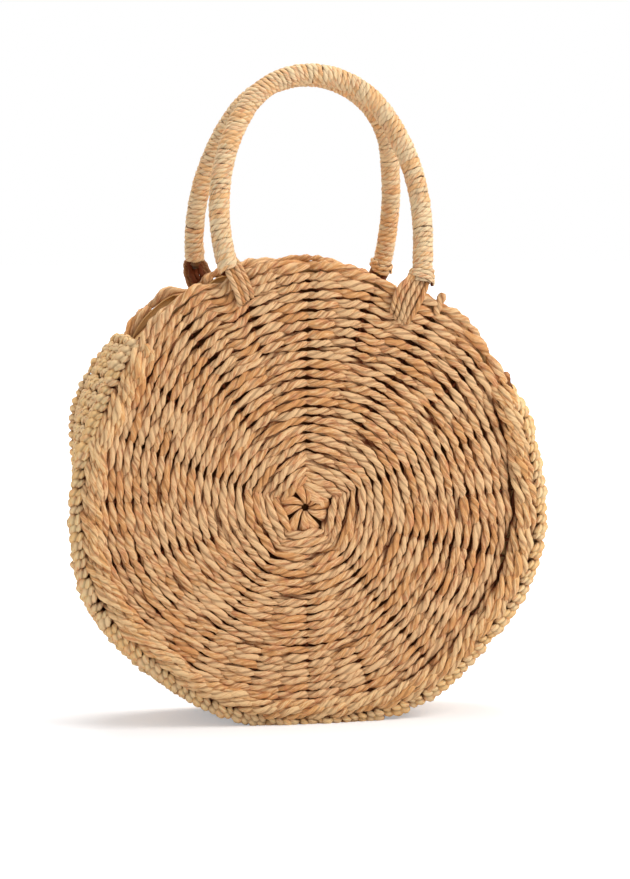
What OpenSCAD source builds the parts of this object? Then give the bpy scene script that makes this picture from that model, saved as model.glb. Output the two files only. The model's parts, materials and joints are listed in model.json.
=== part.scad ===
// Round straw bag: two woven discs, a crocheted gusset, two wound handles and a zipped mouth.
// X runs along the discs, Y from the front disc to the back one, Z up. The bag stands on Z = 0.

/* [Discs] */
// Radius of the bag at the outer edge of the seam and rim cords
rim_r = 160; // [140:1:190]
// Distance between the middles of the front and back seam cords
cord_gap = 88; // [70:1:120]
// Thickness of the woven disc
panel_t = 5; // [3:0.5:7]
// How far the middle of a disc bulges outwards
panel_crown = 6; // [3:0.5:10]

/* [Seam and rim cords] */
// Radius of the stitched rope that joins disc and gusset
seam_cord_r = 5; // [4:0.25:6]
// Radius of the last row along the mouth
rim_cord_r = 3.2; // [2.5:0.1:4]

/* [Gusset] */
// How far the knob rows stand outside the seam cords
knob_rise = 7; // [4:0.5:9]
// Width of a knob row, across the gusset
knob_w = 9; // [6:0.5:12]
// How far the strip between the knob rows lies below the knobs
strip_drop = 3; // [2:0.25:5]
// Thickness of the crocheted strip
strip_t = 6; // [4:0.5:8]
// How far the weight of the bag presses the knob rows flat
floor_sag = 5.5; // [3:0.5:6]
// Angle at which the mouth begins on the right, from +X towards +Z
mouth_start = 28; // [20:1:36]
// Angle at which the mouth ends on the left
mouth_end = 139; // [128:1:145]

/* [Handles] */
// Radius of a finished handle over its winding
handle_r = 7.3; // [6:0.1:8]
// Radius of the rod inside a handle
handle_core_r = 4.8; // [4:0.1:5.5]
// Half width of a handle at its widest, to the middle of the rod
handle_half_w = 72.5; // [70.5:0.5:82]
// Half distance between the two feet of a handle
handle_foot_half_w = 68.3; // [60:0.1:69]
// Distance of the handles' middle line to the right of the disc's middle
handle_mid_x = 10.4; // [0:0.1:14]
// Height of a handle above its feet, along the handle
handle_rise = 143; // [125:1:170]
// Height of a handle's widest place above its feet, along the handle
handle_waist = 40; // [30:1:50]
// Radius of the top arc of a handle, to the middle of the rod
handle_top_r = 60; // [54:0.5:64]
// How far the feet stand in front of the rim's middle
foot_forward = 2; // [0:0.25:4]
// Radius of the flared last turns at a foot
binding_r = 8.8; // [8.3:0.1:9.5]
// Length of the flared last turns
binding_l = 9; // [6:0.5:14]

/* [Handle anchors] */
// Radius of one strand of the anchor fans
strand_r = 2.2; // [1.6:0.1:2.6]
// Distance between neighbouring strands at the wide end of a fan
strand_step = 4.2; // [3.4:0.1:4.8]
// Depth of the left fans, from the foot towards the middle of the disc
anchor_left_l = 24; // [20:0.5:30]
// Depth of the right fans
anchor_right_l = 30; // [24:0.5:36]

/* [Lining] */
// Thickness of the lining cloth
lining_t = 1; // [0.8:0.1:1.5]
// Depth of the zipped band below the rim of the mouth
band_drop = 10.5; // [9.5:0.5:14]

/* [Zip] */
// Width of one zip tape
tape_w = 12; // [9:0.5:15]
// Thickness of a zip tape
tape_t = 0.6; // [0.5:0.05:0.8]
// How far a tape laps over the band that carries it
tape_lap = 2.7; // [2:0.1:4]
// Width of one coil
coil_w = 2.1; // [1.6:0.1:2.6]
// Height of a coil
coil_h = 2; // [1.6:0.1:2.4]
// Width of the slot between the coils, which the slider's post runs in
coil_slot = 1.6; // [1.4:0.05:2]
// Length of an end stop
stop_l = 4; // [3:0.25:6]
// Distance from an end of the mouth to the nearest end stop
stop_inset = 14; // [10:0.5:20]
// Width of the slider
slider_w = 9; // [8:0.25:11]
// Length of the slider
slider_l = 10; // [8:0.25:12]
// Thickness of a slider plate
slider_plate_t = 1.2; // [1:0.1:1.6]
// Thickness of the slider's post
slider_post_t = 1; // [0.8:0.05:1.1]
// Length of the slider's post
slider_post_l = 4; // [3:0.25:5]
// Distance from the right end stop to the middle of the closed slider
slider_inset = 11; // [8:0.5:16]
// Radius of the pull's pin
pin_r = 0.8; // [0.6:0.05:1]
// Thickness of the slider's loop round the pin
loop_t = 1; // [0.8:0.05:1.3]
// Width of the slider's loop, across the zip
loop_w = 1.6; // [1.2:0.1:2]
// Width of the pull
pull_w = 8; // [7:0.25:10]
// Length of the pull from its pin
pull_l = 22; // [16:0.5:26]
// Thickness of the pull
pull_t = 1.2; // [1:0.1:1.5]
// Length of the window at the pin end of the pull
pull_window_l = 7; // [5.5:0.25:9]

/* [Hidden] */
$fn = 96;

straw_colour = "burlywood";
rope_colour = "peru";
yarn_colour = "tan";
cloth_colour = "bisque";
metal_colour = "goldenrod";

// Clearance between neighbouring pieces, and the overrun of every cut
clearance = 0.3;
overrun = 2;
// Short seats that join the arcs of a handle: their length, the gap that they bridge and their rise
seat_l = clearance * 3;
seat_gap = clearance / 3;
seat_rise = clearance / 6;
// Share of an anchor strand's spacing that is left where the fan closes at its tip
tip_step_share = 0.3;
// Strands in one anchor fan
anchor_strands = 4;
// Straight steps in the curved profile of a disc
profile_steps = 10;
// Share of the pull's width taken by each of the two arms that hold its pin
arm_share = 0.2;

// Places of the cords: the middle planes, and the circles that their middles follow
cord_y = cord_gap / 2;
seam_circle_r = rim_r - seam_cord_r;
rim_circle_r = rim_r - rim_cord_r;
panel_r = rim_r - 2 * seam_cord_r - clearance;
mouth_panel_r = rim_r - 2 * rim_cord_r - clearance;
knob_r = rim_r + knob_rise;
disc_z = knob_r - floor_sag;

// The gusset's strip
strip_r = knob_r - strip_drop;
strip_inner_r = strip_r - strip_t;
strip_half_w = cord_y - seam_cord_r - clearance;
knob_inner_r = rim_r + clearance;
knob_half_w = cord_y - clearance;

// An arc length along a circle, as an angle
function arc_angle(length, r) = length / r * 180 / PI;

// The outer face of a disc at radius r, as a distance from the bag's middle plane
function face_y(r) = cord_y + panel_t / 2 + panel_crown * (1 - (r / panel_r) * (r / panel_r));

// A line that follows the outer face of a disc at some depth below it, from the axis to radius r
function face_line(r, depth) = [
    for (i = [0:profile_steps])
        let (step_r = r * i / profile_steps)
            [step_r, face_y(step_r) - depth]
];
function backwards(points) = [for (i = [len(points) - 1:-1:0]) points[i]];

// Turns a profile in radius and distance from the middle plane about the disc's axis, from angle a to
// angle b. The front is at -Y, so the back is the mirror image.
module about_disc(a = 0, b = 360) {
    translate([0, 0, disc_z])
        rotate([90, 0, 0])
            rotate([0, 0, a])
                rotate_extrude(angle = b - a)
                    children();
}

module at_back() {
    mirror([0, 1, 0]) children();
}

module disc_shell(r, from_depth, to_depth, a = 0, b = 360) {
    about_disc(a, b)
        polygon(concat(face_line(r, from_depth), backwards(face_line(r, to_depth))));
}

// A rectangle in radius and distance from the middle plane, in front
module section(r_low, r_high, y_low, y_high) {
    translate([r_low, y_low]) square([r_high - r_low, y_high - y_low]);
}

// Woven discs
seam_gap_angle = arc_angle(clearance, rim_r);
mouth_from = mouth_start + seam_gap_angle;
mouth_to = mouth_end - seam_gap_angle;

module panel_at_front() {
    color(straw_colour)
        union() {
            disc_shell(panel_r, 0, panel_t);
            about_disc(mouth_from, mouth_to)
                section(panel_r - clearance, mouth_panel_r, cord_y - panel_t / 2, face_y(mouth_panel_r));
        }
}

// Seam and rim cords
module seam_cord_at_front() {
    color(rope_colour)
        about_disc(mouth_end, mouth_start + 360)
            translate([seam_circle_r, cord_y]) circle(seam_cord_r);
}

module rim_cord_at_front() {
    color(straw_colour)
        about_disc(mouth_from, mouth_to)
            translate([rim_circle_r, cord_y]) circle(rim_cord_r);
}

// Gusset: the strip, with a raised knob row along each edge, pressed flat where the bag stands
module gusset() {
    color(yarn_colour)
        intersection() {
            about_disc(mouth_end, mouth_start + 360)
                union() {
                    section(strip_inner_r, strip_r, -strip_half_w, strip_half_w);
                    for (side = [-1, 1])
                        translate([knob_inner_r, side * (knob_half_w - knob_w / 2) - knob_w / 2])
                            square([knob_r - knob_inner_r, knob_w]);
                }
            translate([-knob_r - overrun, -cord_gap, 0])
                cube([2 * (knob_r + overrun), 2 * cord_gap, 2 * (knob_r + overrun)]);
        }
}

// Handles. A handle is drawn upright, with the middle of its hinge line at the origin, and then leant
// on that line.
foot_seat = rim_cord_r + clearance + handle_r;
foot_circle_r = rim_circle_r + sqrt(foot_seat * foot_seat - foot_forward * foot_forward);
foot_y = cord_y + foot_forward;
left_foot = [handle_mid_x - handle_foot_half_w, foot_height(handle_mid_x - handle_foot_half_w)];
right_foot = [handle_mid_x + handle_foot_half_w, foot_height(handle_mid_x + handle_foot_half_w)];
function foot_height(x) = disc_z + sqrt(foot_circle_r * foot_circle_r - x * x);
hinge_mid = (left_foot + right_foot) / 2;
hinge_tilt = atan2(left_foot[1] - right_foot[1], right_foot[0] - left_foot[0]);
// Height of each foot above or below the middle of the hinge line
foot_lift = (left_foot[1] - right_foot[1]) / 2;

// The arch: a top arc that meets a side arc at each side, above the widest place
top_centre = handle_rise - handle_top_r;
waist_to_top = handle_rise - handle_waist;
side_r = (handle_half_w * handle_half_w + waist_to_top * waist_to_top - 2 * waist_to_top * handle_top_r)
    / (2 * (handle_half_w - handle_top_r));
side_centre = handle_half_w - side_r;
join_angle = atan2(top_centre - handle_waist, -side_centre);

// The leg below the widest place curves in to the foot
toe_in = handle_half_w - handle_foot_half_w;
function leg_r(lift) = ((handle_waist - lift) * (handle_waist - lift) + toe_in * toe_in) / (2 * toe_in);
function leg_angle(lift) = asin((handle_waist - lift) / leg_r(lift));

// The lean brings the two windings to within a clearance of each other at the top
lean_reach = top_centre * cos(hinge_tilt) + handle_top_r;
handle_lean = asin((foot_y - handle_r - clearance / 2) / lean_reach);

module handle_place() {
    translate([hinge_mid[0], -foot_y, hinge_mid[1]])
        rotate(a = -handle_lean, v = [cos(hinge_tilt), 0, -sin(hinge_tilt)])
            children();
}

module ring(outer, inner) {
    difference() {
        circle(outer);
        if (inner > 0)
            circle(inner);
    }
}

// Sweeps a section along an arc of radius r about (x, z), from angle a to angle b in the handle's plane
module handle_arc(x, z, r, a, b) {
    translate([x, 0, z])
        rotate([90, 0, 0])
            rotate([0, 0, a])
                rotate_extrude(angle = b - a)
                    translate([r, 0]) children();
}

// A straight stretch of a section across the place at angle a of such an arc
module handle_stub(x, z, r, a, length) {
    translate([x, 0, z])
        rotate([90, 0, 0])
            rotate([0, 0, a])
                translate([r, 0, 0])
                    rotate([90, 0, 0])
                        linear_extrude(height = length, center = true) children();
}

// A rod or sleeve along the whole handle. Short seats, a hair larger, join the arcs, and end_gap
// shortens the feet.
module handle_sweep(outer, inner, end_gap) {
    top_gap = arc_angle(seat_gap, handle_top_r);
    side_gap = arc_angle(seat_gap, side_r);
    seat_outer = outer + seat_rise;
    seat_inner = inner - seat_rise;
    handle_arc(0, top_centre, handle_top_r, join_angle + top_gap, 180 - join_angle - top_gap)
        ring(outer, inner);
    for (side = [-1, 1])
        mirror([side > 0 ? 0 : 1, 0, 0]) {
            lift = -side * foot_lift;
            leg = leg_r(lift);
            leg_gap = arc_angle(seat_gap, leg);
            low = leg_angle(lift) - arc_angle(end_gap, leg);
            handle_arc(side_centre, handle_waist, side_r, side_gap, join_angle - side_gap)
                ring(outer, inner);
            handle_arc(handle_half_w - leg, handle_waist, leg, -low, -leg_gap)
                ring(outer, inner);
            handle_stub(0, top_centre, handle_top_r, join_angle, seat_l)
                ring(seat_outer, seat_inner);
            handle_stub(side_centre, handle_waist, side_r, 0, seat_l)
                ring(seat_outer, seat_inner);
        }
}

module handle_core_at_front() {
    color(rope_colour)
        handle_place()
            handle_sweep(handle_core_r, 0, seat_l + clearance);
}

// The winding is a sleeve round the rod, closed by a round foot at each end
module handle_wrap_at_front() {
    color(yarn_colour)
        handle_place()
            union() {
                handle_sweep(handle_r, handle_core_r + clearance, 0);
                for (side = [-1, 1])
                    mirror([side > 0 ? 0 : 1, 0, 0])
                        foot_cap(-side * foot_lift);
            }
}

// A disc across the end of a leg, over the lower half of a ball
module foot_cap(lift) {
    leg = leg_r(lift);
    handle_stub(handle_half_w - leg, handle_waist, leg, -leg_angle(lift), seat_l)
        circle(handle_r + seat_rise);
    translate([handle_foot_half_w, 0, lift])
        rotate([0, leg_angle(lift), 0])
            difference() {
                sphere(handle_r);
                translate([-handle_r - overrun, -handle_r - overrun, 0])
                    cube(2 * (handle_r + overrun));
            }
}

// The flared turns follow the first stretch of the leg
module binding_at_front(side) {
    lift = -side * foot_lift;
    leg = leg_r(lift);
    low = leg_angle(lift) - arc_angle(binding_l / 2, leg);
    high = low - arc_angle(binding_l, leg);
    color(rope_colour)
        handle_place()
            mirror([side > 0 ? 0 : 1, 0, 0])
                handle_arc(handle_half_w - leg, handle_waist, leg, -low, -high)
                    ring(binding_r, handle_r + clearance / 2);
}

// Anchor fans: strands over the rim of the mouth, from under a foot towards the middle of the disc
strand_y = cord_y + rim_cord_r + clearance + strand_r;
anchor_drop = binding_r + clearance + strand_r;

module anchor_at_front(foot, depth) {
    inward = -[foot[0], foot[1] - disc_z] / foot_circle_r;
    across = [inward[1], -inward[0]];
    tip = foot + depth * inward;
    color(rope_colour)
        union()
            for (i = [0:anchor_strands - 1]) {
                place = (i - (anchor_strands - 1) / 2) * strand_step;
                top = foot + place * [cos(hinge_tilt), -sin(hinge_tilt)]
                    - anchor_drop * [sin(hinge_tilt), cos(hinge_tilt)];
                low = tip - place * tip_step_share * across;
                strand(top, low);
            }
}

// One round-ended strand between two places of the front face
module strand(a, b) {
    run = norm(b - a);
    translate([a[0], -strand_y, a[1]])
        rotate([0, atan2(b[0] - a[0], b[1] - a[1]), 0]) {
            cylinder(h = run, r = strand_r);
            sphere(strand_r);
            translate([0, 0, run]) sphere(strand_r);
        }
}

// Lining: a disc behind the woven one. Its edge steps in behind the cords, to the lining of the gusset.
lining_gap = clearance + clearance / 2;
lining_depth = panel_t + lining_gap;
lining_r = panel_r - clearance;
lining_step_y = strip_half_w - clearance;
lining_strip_r = strip_inner_r - 2 * clearance;
lining_edge_r = lining_strip_r - lining_t - clearance;

module lining_at_front() {
    wall_r = lining_r - lining_t;
    step = [
        [lining_r, lining_step_y],
        [lining_edge_r, lining_step_y],
        [lining_edge_r, lining_step_y - lining_t],
        [wall_r, lining_step_y - lining_t],
    ];
    color(cloth_colour)
        about_disc()
            polygon(concat(
                face_line(lining_r, lining_depth),
                step,
                backwards(face_line(wall_r, lining_depth + lining_t))
            ));
}

module gusset_lining() {
    color(cloth_colour)
        about_disc(mouth_end, mouth_start + 360)
            section(lining_strip_r - lining_t, lining_strip_r, -strip_half_w, strip_half_w);
}

// The bands close the mouth between the discs. Each carries the outer edge of a tape.
band_r = rim_r - band_drop;
tape_low_r = band_r + clearance;
tape_edge = coil_slot / 2 + coil_w + clearance;
band_edge = tape_edge + tape_w - tape_lap;
band_outer = lining_step_y - lining_t - clearance;

module mouth_band_at_front() {
    color(cloth_colour)
        about_disc(mouth_from, mouth_to)
            section(band_r - lining_t, band_r, band_edge, band_outer);
}

module zip_tape_at_front() {
    color(cloth_colour)
        about_disc(mouth_from, mouth_to)
            section(tape_low_r, tape_low_r + tape_t, tape_edge, tape_edge + tape_w);
}

// Coils run between the end stops
coil_r = tape_low_r + tape_t / 2;
stop_right = mouth_start + arc_angle(stop_inset, coil_r);
stop_left = mouth_end - arc_angle(stop_inset, coil_r);
coil_from = stop_right + arc_angle(stop_l + clearance, coil_r);
coil_to = stop_left - arc_angle(stop_l + clearance, coil_r);

module zip_coil_at_front() {
    color(metal_colour)
        about_disc(coil_from, coil_to)
            section(coil_r - coil_h / 2, coil_r + coil_h / 2, coil_slot / 2, coil_slot / 2 + coil_w);
}

module zip_stop(a) {
    color(metal_colour)
        about_disc(a, a + arc_angle(stop_l, coil_r))
            section(
                coil_r - coil_h / 2, coil_r + coil_h / 2,
                clearance - tape_edge, tape_edge - clearance
            );
}

// Slider: two plates joined by a post in the slot, and a loop on top
slider_angle = coil_from + arc_angle(slider_inset, coil_r);
plate_top_r = coil_r + coil_h / 2 + clearance;
plate_low_r = coil_r - coil_h / 2 - clearance;
loop_low_r = plate_top_r + slider_plate_t;
pin_place_r = loop_low_r + clearance + pin_r;
loop_hole_h = 2 * (pin_r + clearance);
loop_hole_l = 2 * (pin_r + clearance) + loop_t;
loop_l = loop_hole_l + 2 * loop_t;

module slider_sector(length, r_low, r_high, half_w) {
    half_angle = arc_angle(length / 2, coil_r);
    about_disc(slider_angle - half_angle, slider_angle + half_angle)
        section(r_low, r_high, -half_w, half_w);
}

// A frame whose Z axis points out through the slider, with X towards the closed end of the zip
module at_slider() {
    translate([0, 0, disc_z])
        rotate([0, 90 - slider_angle, 0])
            children();
}

module zip_slider() {
    color(metal_colour)
        union() {
            slider_sector(slider_l, plate_top_r, loop_low_r, slider_w / 2);
            slider_sector(slider_l, plate_low_r - slider_plate_t, plate_low_r, slider_w / 2);
            slider_sector(
                slider_post_l,
                plate_low_r - slider_plate_t / 2, plate_top_r + slider_plate_t / 2,
                slider_post_t / 2
            );
            at_slider()
                translate([-loop_l / 2, -loop_w / 2, plate_top_r + slider_plate_t / 2])
                    difference() {
                        cube([loop_l, loop_w, slider_plate_t / 2 + loop_hole_h + loop_t]);
                        translate([loop_t, -overrun, slider_plate_t / 2])
                            cube([loop_hole_l, loop_w + 2 * overrun, loop_hole_h]);
                    }
        }
}

// Pull: a pin through the loop, two arms and a rounded tab, lying back along the closed zip
arm_w = pull_w * arm_share;

module zip_pull() {
    color(metal_colour)
        at_slider()
            translate([0, 0, pin_place_r])
                union() {
                    translate([0, pull_w / 2, 0])
                        rotate([90, 0, 0])
                            cylinder(h = pull_w, r = pin_r);
                    difference() {
                        translate([-pull_l, -pull_w / 2, -pull_t / 2])
                            cube([pull_l, pull_w, pull_t]);
                        translate([-pull_window_l, -pull_w / 2 + arm_w, -pull_t / 2 - overrun])
                            cube([pull_window_l + overrun, pull_w - 2 * arm_w, pull_t + 2 * overrun]);
                    }
                    translate([-pull_l, 0, -pull_t / 2])
                        cylinder(h = pull_t, r = pull_w / 2);
                }
}

panel_at_front();  // front_panel
at_back() panel_at_front();  // back_panel
gusset();
seam_cord_at_front();  // front_seam_cord
at_back() seam_cord_at_front();  // back_seam_cord
rim_cord_at_front();  // front_rim_cord
at_back() rim_cord_at_front();  // back_rim_cord
anchor_at_front(left_foot, anchor_left_l);  // front_left_anchor
anchor_at_front(right_foot, anchor_right_l);  // front_right_anchor
at_back() anchor_at_front(left_foot, anchor_left_l);  // back_left_anchor
at_back() anchor_at_front(right_foot, anchor_right_l);  // back_right_anchor
lining_at_front();  // front_lining
at_back() lining_at_front();  // back_lining
gusset_lining();
mouth_band_at_front();  // front_mouth_band
at_back() mouth_band_at_front();  // back_mouth_band
zip_tape_at_front();  // front_zip_tape
at_back() zip_tape_at_front();  // back_zip_tape
zip_coil_at_front();  // front_zip_coil
at_back() zip_coil_at_front();  // back_zip_coil
zip_stop(stop_left - arc_angle(stop_l, coil_r));  // zip_stop_left
zip_stop(stop_right);  // zip_stop_right
handle_core_at_front();  // front_handle_core
handle_wrap_at_front();  // front_handle_wrap
binding_at_front(-1);  // front_left_binding
binding_at_front(1);  // front_right_binding
at_back() handle_core_at_front();  // back_handle_core
at_back() handle_wrap_at_front();  // back_handle_wrap
at_back() binding_at_front(-1);  // back_left_binding
at_back() binding_at_front(1);  // back_right_binding
zip_slider();
zip_pull();
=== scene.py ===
# %% [markdown]
# # A round straw bag
# The bag is two discs of twined paper straw, a crocheted strip between them, two wound handles and a
# zipped mouth. Almost all of it is cord: one shape, a strand carried along a path, is made over and over.
# So the lesson is about paths. Each piece is a formula that says where its strands run, and one function
# gives every strand its body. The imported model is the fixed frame, and nothing here moves it.

import json
import math

import bpy
import numpy as np
from mathutils import Matrix, Vector


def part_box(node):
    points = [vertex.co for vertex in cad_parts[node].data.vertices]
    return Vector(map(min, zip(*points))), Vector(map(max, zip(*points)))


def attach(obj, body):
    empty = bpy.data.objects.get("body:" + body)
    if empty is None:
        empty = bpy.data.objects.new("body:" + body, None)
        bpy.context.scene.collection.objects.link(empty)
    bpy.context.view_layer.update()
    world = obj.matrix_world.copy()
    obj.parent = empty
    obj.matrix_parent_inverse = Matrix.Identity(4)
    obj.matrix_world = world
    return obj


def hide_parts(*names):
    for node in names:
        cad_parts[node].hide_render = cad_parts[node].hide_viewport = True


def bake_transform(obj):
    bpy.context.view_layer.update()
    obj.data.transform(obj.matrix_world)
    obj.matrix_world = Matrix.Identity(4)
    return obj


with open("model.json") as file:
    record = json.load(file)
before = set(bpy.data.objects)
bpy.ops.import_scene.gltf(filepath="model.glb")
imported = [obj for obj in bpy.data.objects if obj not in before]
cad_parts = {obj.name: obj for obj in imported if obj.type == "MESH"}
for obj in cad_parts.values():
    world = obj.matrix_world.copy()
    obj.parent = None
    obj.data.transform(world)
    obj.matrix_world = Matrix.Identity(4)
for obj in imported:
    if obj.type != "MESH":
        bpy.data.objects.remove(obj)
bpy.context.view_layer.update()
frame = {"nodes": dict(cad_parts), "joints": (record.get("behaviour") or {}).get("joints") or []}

# %% [markdown]
# Blender works in metres, and a bag maker in millimetres. All numbers below are millimetres, and a mesh
# is turned into metres once, where it is written. The main sizes are read back from the frame: a disc's
# middle and the radius of its edge are the same numbers here as in the part.

# %% Sizes that the frame gives
METRE = 1000.0


def box_mm(node):
    """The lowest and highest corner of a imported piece, in millimetres."""
    low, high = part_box(node)
    return np.array(low) * METRE, np.array(high) * METRE


lining_low, lining_high = box_mm("front_lining")
seam_low, seam_high = box_mm("front_seam_cord")
disc_z = (lining_low[2] + lining_high[2]) / 2
rim_r = -seam_low[0]
cord_y = -(seam_low[1] + seam_high[1]) / 2
strip_half_w = cord_y - (seam_high[1] - seam_low[1]) / 2
knob_r = box_mm("gusset")[1][0]
tape_r = box_mm("front_zip_tape")[1][2] - disc_z - 0.3
panel_t, panel_crown, panel_r = 5.0, 6.0, rim_r - 10.3
swing = next(joint for joint in frame["joints"] if joint["name"] == "front_handle_swing")
hinge_middle = np.array(swing["pos_m"]) * METRE
hinge_axis = np.array(swing["axis"])
handle_foot_half_w = 68.3
# The ends of the mouth, in degrees from +X
mouth_start, mouth_end = 28.0, 139.0
# The front looks along -Y, so its sign is -1
both_sides = ((-1, "front"), (1, "back"))
print(f"disc middle at {disc_z:.1f}, rim radius {rim_r:.1f}, seam cords at {cord_y:.1f} either side")

# %% [markdown]
# ## The camera
# The photograph was taken from a little left of the front and a little above, with a long lens. The
# picture is 630 by 879, so the long side sets the lens: its focal length in picture points, over 879,
# times the 36 mm of the sensor.

# %% The camera
picture_h = 879
camera_turn, camera_rise = math.radians(-15.3), math.radians(4.4)
camera_distance = 2376.0
focal_points = 3433.0
looked_at = Vector((3.6, -46.0, 198.6)) / METRE
backwards = Vector((
    math.sin(camera_turn) * math.cos(camera_rise),
    -math.cos(camera_turn) * math.cos(camera_rise),
    math.sin(camera_rise),
))
lens = bpy.data.cameras.new("camera")
lens.sensor_width = 36.0
lens.lens = lens.sensor_width * focal_points / picture_h
lens.clip_start, lens.clip_end = 0.05, 50.0
camera = bpy.data.objects.new("camera", lens)
camera.location = looked_at + backwards * camera_distance / METRE
camera.rotation_mode = "QUATERNION"
camera.rotation_quaternion = (-backwards).to_track_quat("-Z", "Y")
bpy.context.scene.collection.objects.link(camera)
bpy.context.scene.camera = camera
bpy.context.scene.view_settings.view_transform = "Standard"
print(f"lens {lens.lens:.1f} mm")

# %% [markdown]
# ## Materials
# A material is a small network of nodes. Wired by hand it is hard to read, so one small class wraps a
# value that changes over the surface, and adding or multiplying two of them adds the node that does it.

# %% Shader values as expressions
class Field:
    """A value that changes over a surface. Arithmetic on fields adds Math nodes to the tree."""

    tree = None

    def __init__(self, socket):
        self.socket = socket

    @classmethod
    def node(cls, kind, values=None, output=0, **settings):
        """Adds a node: its settings first, then the numbers or fields of its sockets."""
        made = cls.tree.nodes.new(kind)
        for name, value in settings.items():
            setattr(made, name, value)
        for name, value in (values or {}).items():
            if isinstance(value, Field):
                cls.tree.links.new(value.socket, made.inputs[name])
            else:
                made.inputs[name].default_value = value
        return cls(made.outputs[output])

    def maths(self, operation, other, swapped=False):
        pair = (other, self) if swapped else (self, other)
        return Field.node("ShaderNodeMath", dict(enumerate(pair)), operation=operation)

    def __add__(self, other):
        return self.maths("ADD", other)

    def __sub__(self, other):
        return self.maths("SUBTRACT", other)

    def __mul__(self, other):
        return self.maths("MULTIPLY", other)

    def __rsub__(self, other):
        return self.maths("SUBTRACT", other, swapped=True)

    __radd__ = __add__
    __rmul__ = __mul__

    def step(self, low, high):
        """0 below low, 1 above high and smooth between them."""
        edges = {"Value": self, "From Min": low, "From Max": high}
        return Field.node("ShaderNodeMapRange", edges, interpolation_type="SMOOTHSTEP")


def srgb(red, green, blue):
    """A colour as a picture shows it, from 0 to 255, as the linear colour that a shader wants."""
    share = np.array([red, green, blue]) / 255
    linear = np.where(share <= 0.04045, share / 12.92, ((share + 0.055) / 1.055) ** 2.4)
    return (*linear.tolist(), 1.0)


def mixed(first, second, share):
    """Goes from the first colour to the second as share goes from 0 to 1."""
    return Field.node("ShaderNodeMix", {0: share, 6: first, 7: second}, output=2, data_type="RGBA")


def own(name):
    """The number that a piece's mesh carries under that name."""
    return Field.node("ShaderNodeAttribute", output=2, attribute_name=name)


def object_place():
    return Field.node("ShaderNodeTexCoord", output=3)


def noise(place, scale, detail=2.0, roughness=0.5):
    values = {"Vector": place, "Scale": scale, "Detail": detail, "Roughness": roughness}
    return Field.node("ShaderNodeTexNoise", values)


def strand_place(along_scale, around_scale):
    """The strand's own map: metres along it, and a share of the way round it, each scaled."""
    uv = Field.node("ShaderNodeUVMap", uv_map="UVMap")
    scale = (along_scale, around_scale, 1.0)
    return Field.node("ShaderNodeVectorMath", {0: uv, 1: scale}, operation="MULTIPLY")


def new_material(name, roughness, **constants):
    """Starts a material and returns it with its main shader."""
    material = bpy.data.materials.new(name)
    material.use_nodes = True
    Field.tree = material.node_tree
    shader = material.node_tree.nodes["Principled BSDF"]
    shader.inputs["Roughness"].default_value = roughness
    for socket, value in constants.items():
        shader.inputs[socket.replace("_", " ")].default_value = value
    return material, shader


def feed(shader, socket, field):
    Field.tree.links.new(field.socket, shader.inputs[socket])


def bump(height, distance, strength):
    values = {"Height": height, "Distance": distance, "Strength": strength}
    return Field.node("ShaderNodeBump", values)


# %% [markdown]
# Paper straw is a strip of crumpled paper twisted into a cord. Close up it has long creases that run with
# the strand and tan and pinkish stretches. The creases are noise stretched along the strand's own map. They
# raise the cord, and its colour is painted with shade, dark brown in the creases, and with a highlight, pale
# on their ridges. A picture of paper would repeat on so many metres of cord. Each mesh also carries two
# numbers: how high a point lies in the weave, because shade is painted dark brown at the bottoms of the
# gaps, and a tone of its own for each stitch.

# %% Straw
# The dark brown of all shade painted on the straw: in its creases, between its plies and at the bottoms of
# the gaps of the weave.
painted_shade_brown = srgb(104, 44, 8)


def straw(name, middle, pale, ruddy, low, high, ridge_highlight_share, ply_groove_shade=0.45):
    """Creased paper cord. low and high are heights in the weave, in mm: shade is painted dark brown at low
    and fades out up to high. worn is the share of the pale colour painted on the ridges of the creases as a
    highlight. The cosine of twice the way round the strand is -1 in the grooves between its two plies, and
    crease is how much dark brown is painted in there as shade."""
    material, shader = new_material(name, 0.78, Specular_IOR_Level=0.25)
    middle, pale, ruddy = (srgb(*colour) for colour in (middle, pale, ruddy))
    creases = noise(strand_place(90.0, 8.0), 1.0, 3.0, 0.65)
    fibres = noise(strand_place(330.0, 24.0), 1.0, 2.0, 0.5)
    blotches = noise(object_place(), 190.0, 3.0)
    tone = own("tone")
    around = Field.node("ShaderNodeSeparateXYZ", {0: strand_place(1.0, 4 * math.pi)}, output=1)
    ply = around.maths("COSINE", 0.0)
    colour = mixed(middle, ruddy, (blotches * 1.2 + tone * 0.4 - 0.3).step(0.36, 0.6))
    # Pale on the ridges of the creases: a painted highlight.
    colour = mixed(colour, pale, (creases + tone * 0.3 + fibres * 0.4 - 0.35).step(0.34, 0.6) * ridge_highlight_share)
    # Dark brown in the valleys of the creases: painted shade.
    grooves = (creases * 0.65 + fibres * 0.35).step(0.3, 0.5)
    colour = mixed(painted_shade_brown, colour, 0.66 + grooves * 0.34)
    # Dark brown in the groove between the two plies: painted shade.
    between = (ply + (creases - 0.5) * 1.2).step(-1.0, -0.35)
    colour = mixed(painted_shade_brown, colour, between * ply_groove_shade + (1 - ply_groove_shade))
    # Dark brown where a point lies low in the weave, down into the gaps: painted shade.
    depth = (own("height") + (fibres - 0.5) * 1.2).step(low, high)
    colour = mixed(painted_shade_brown, colour, 0.02 + depth * 0.98)
    feed(shader, "Base Color", colour)
    feed(shader, "Roughness", 0.92 - creases * 0.25)
    feed(shader, "Normal", bump(creases + fibres * 0.6, 0.0011, 0.85))
    return material


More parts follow.
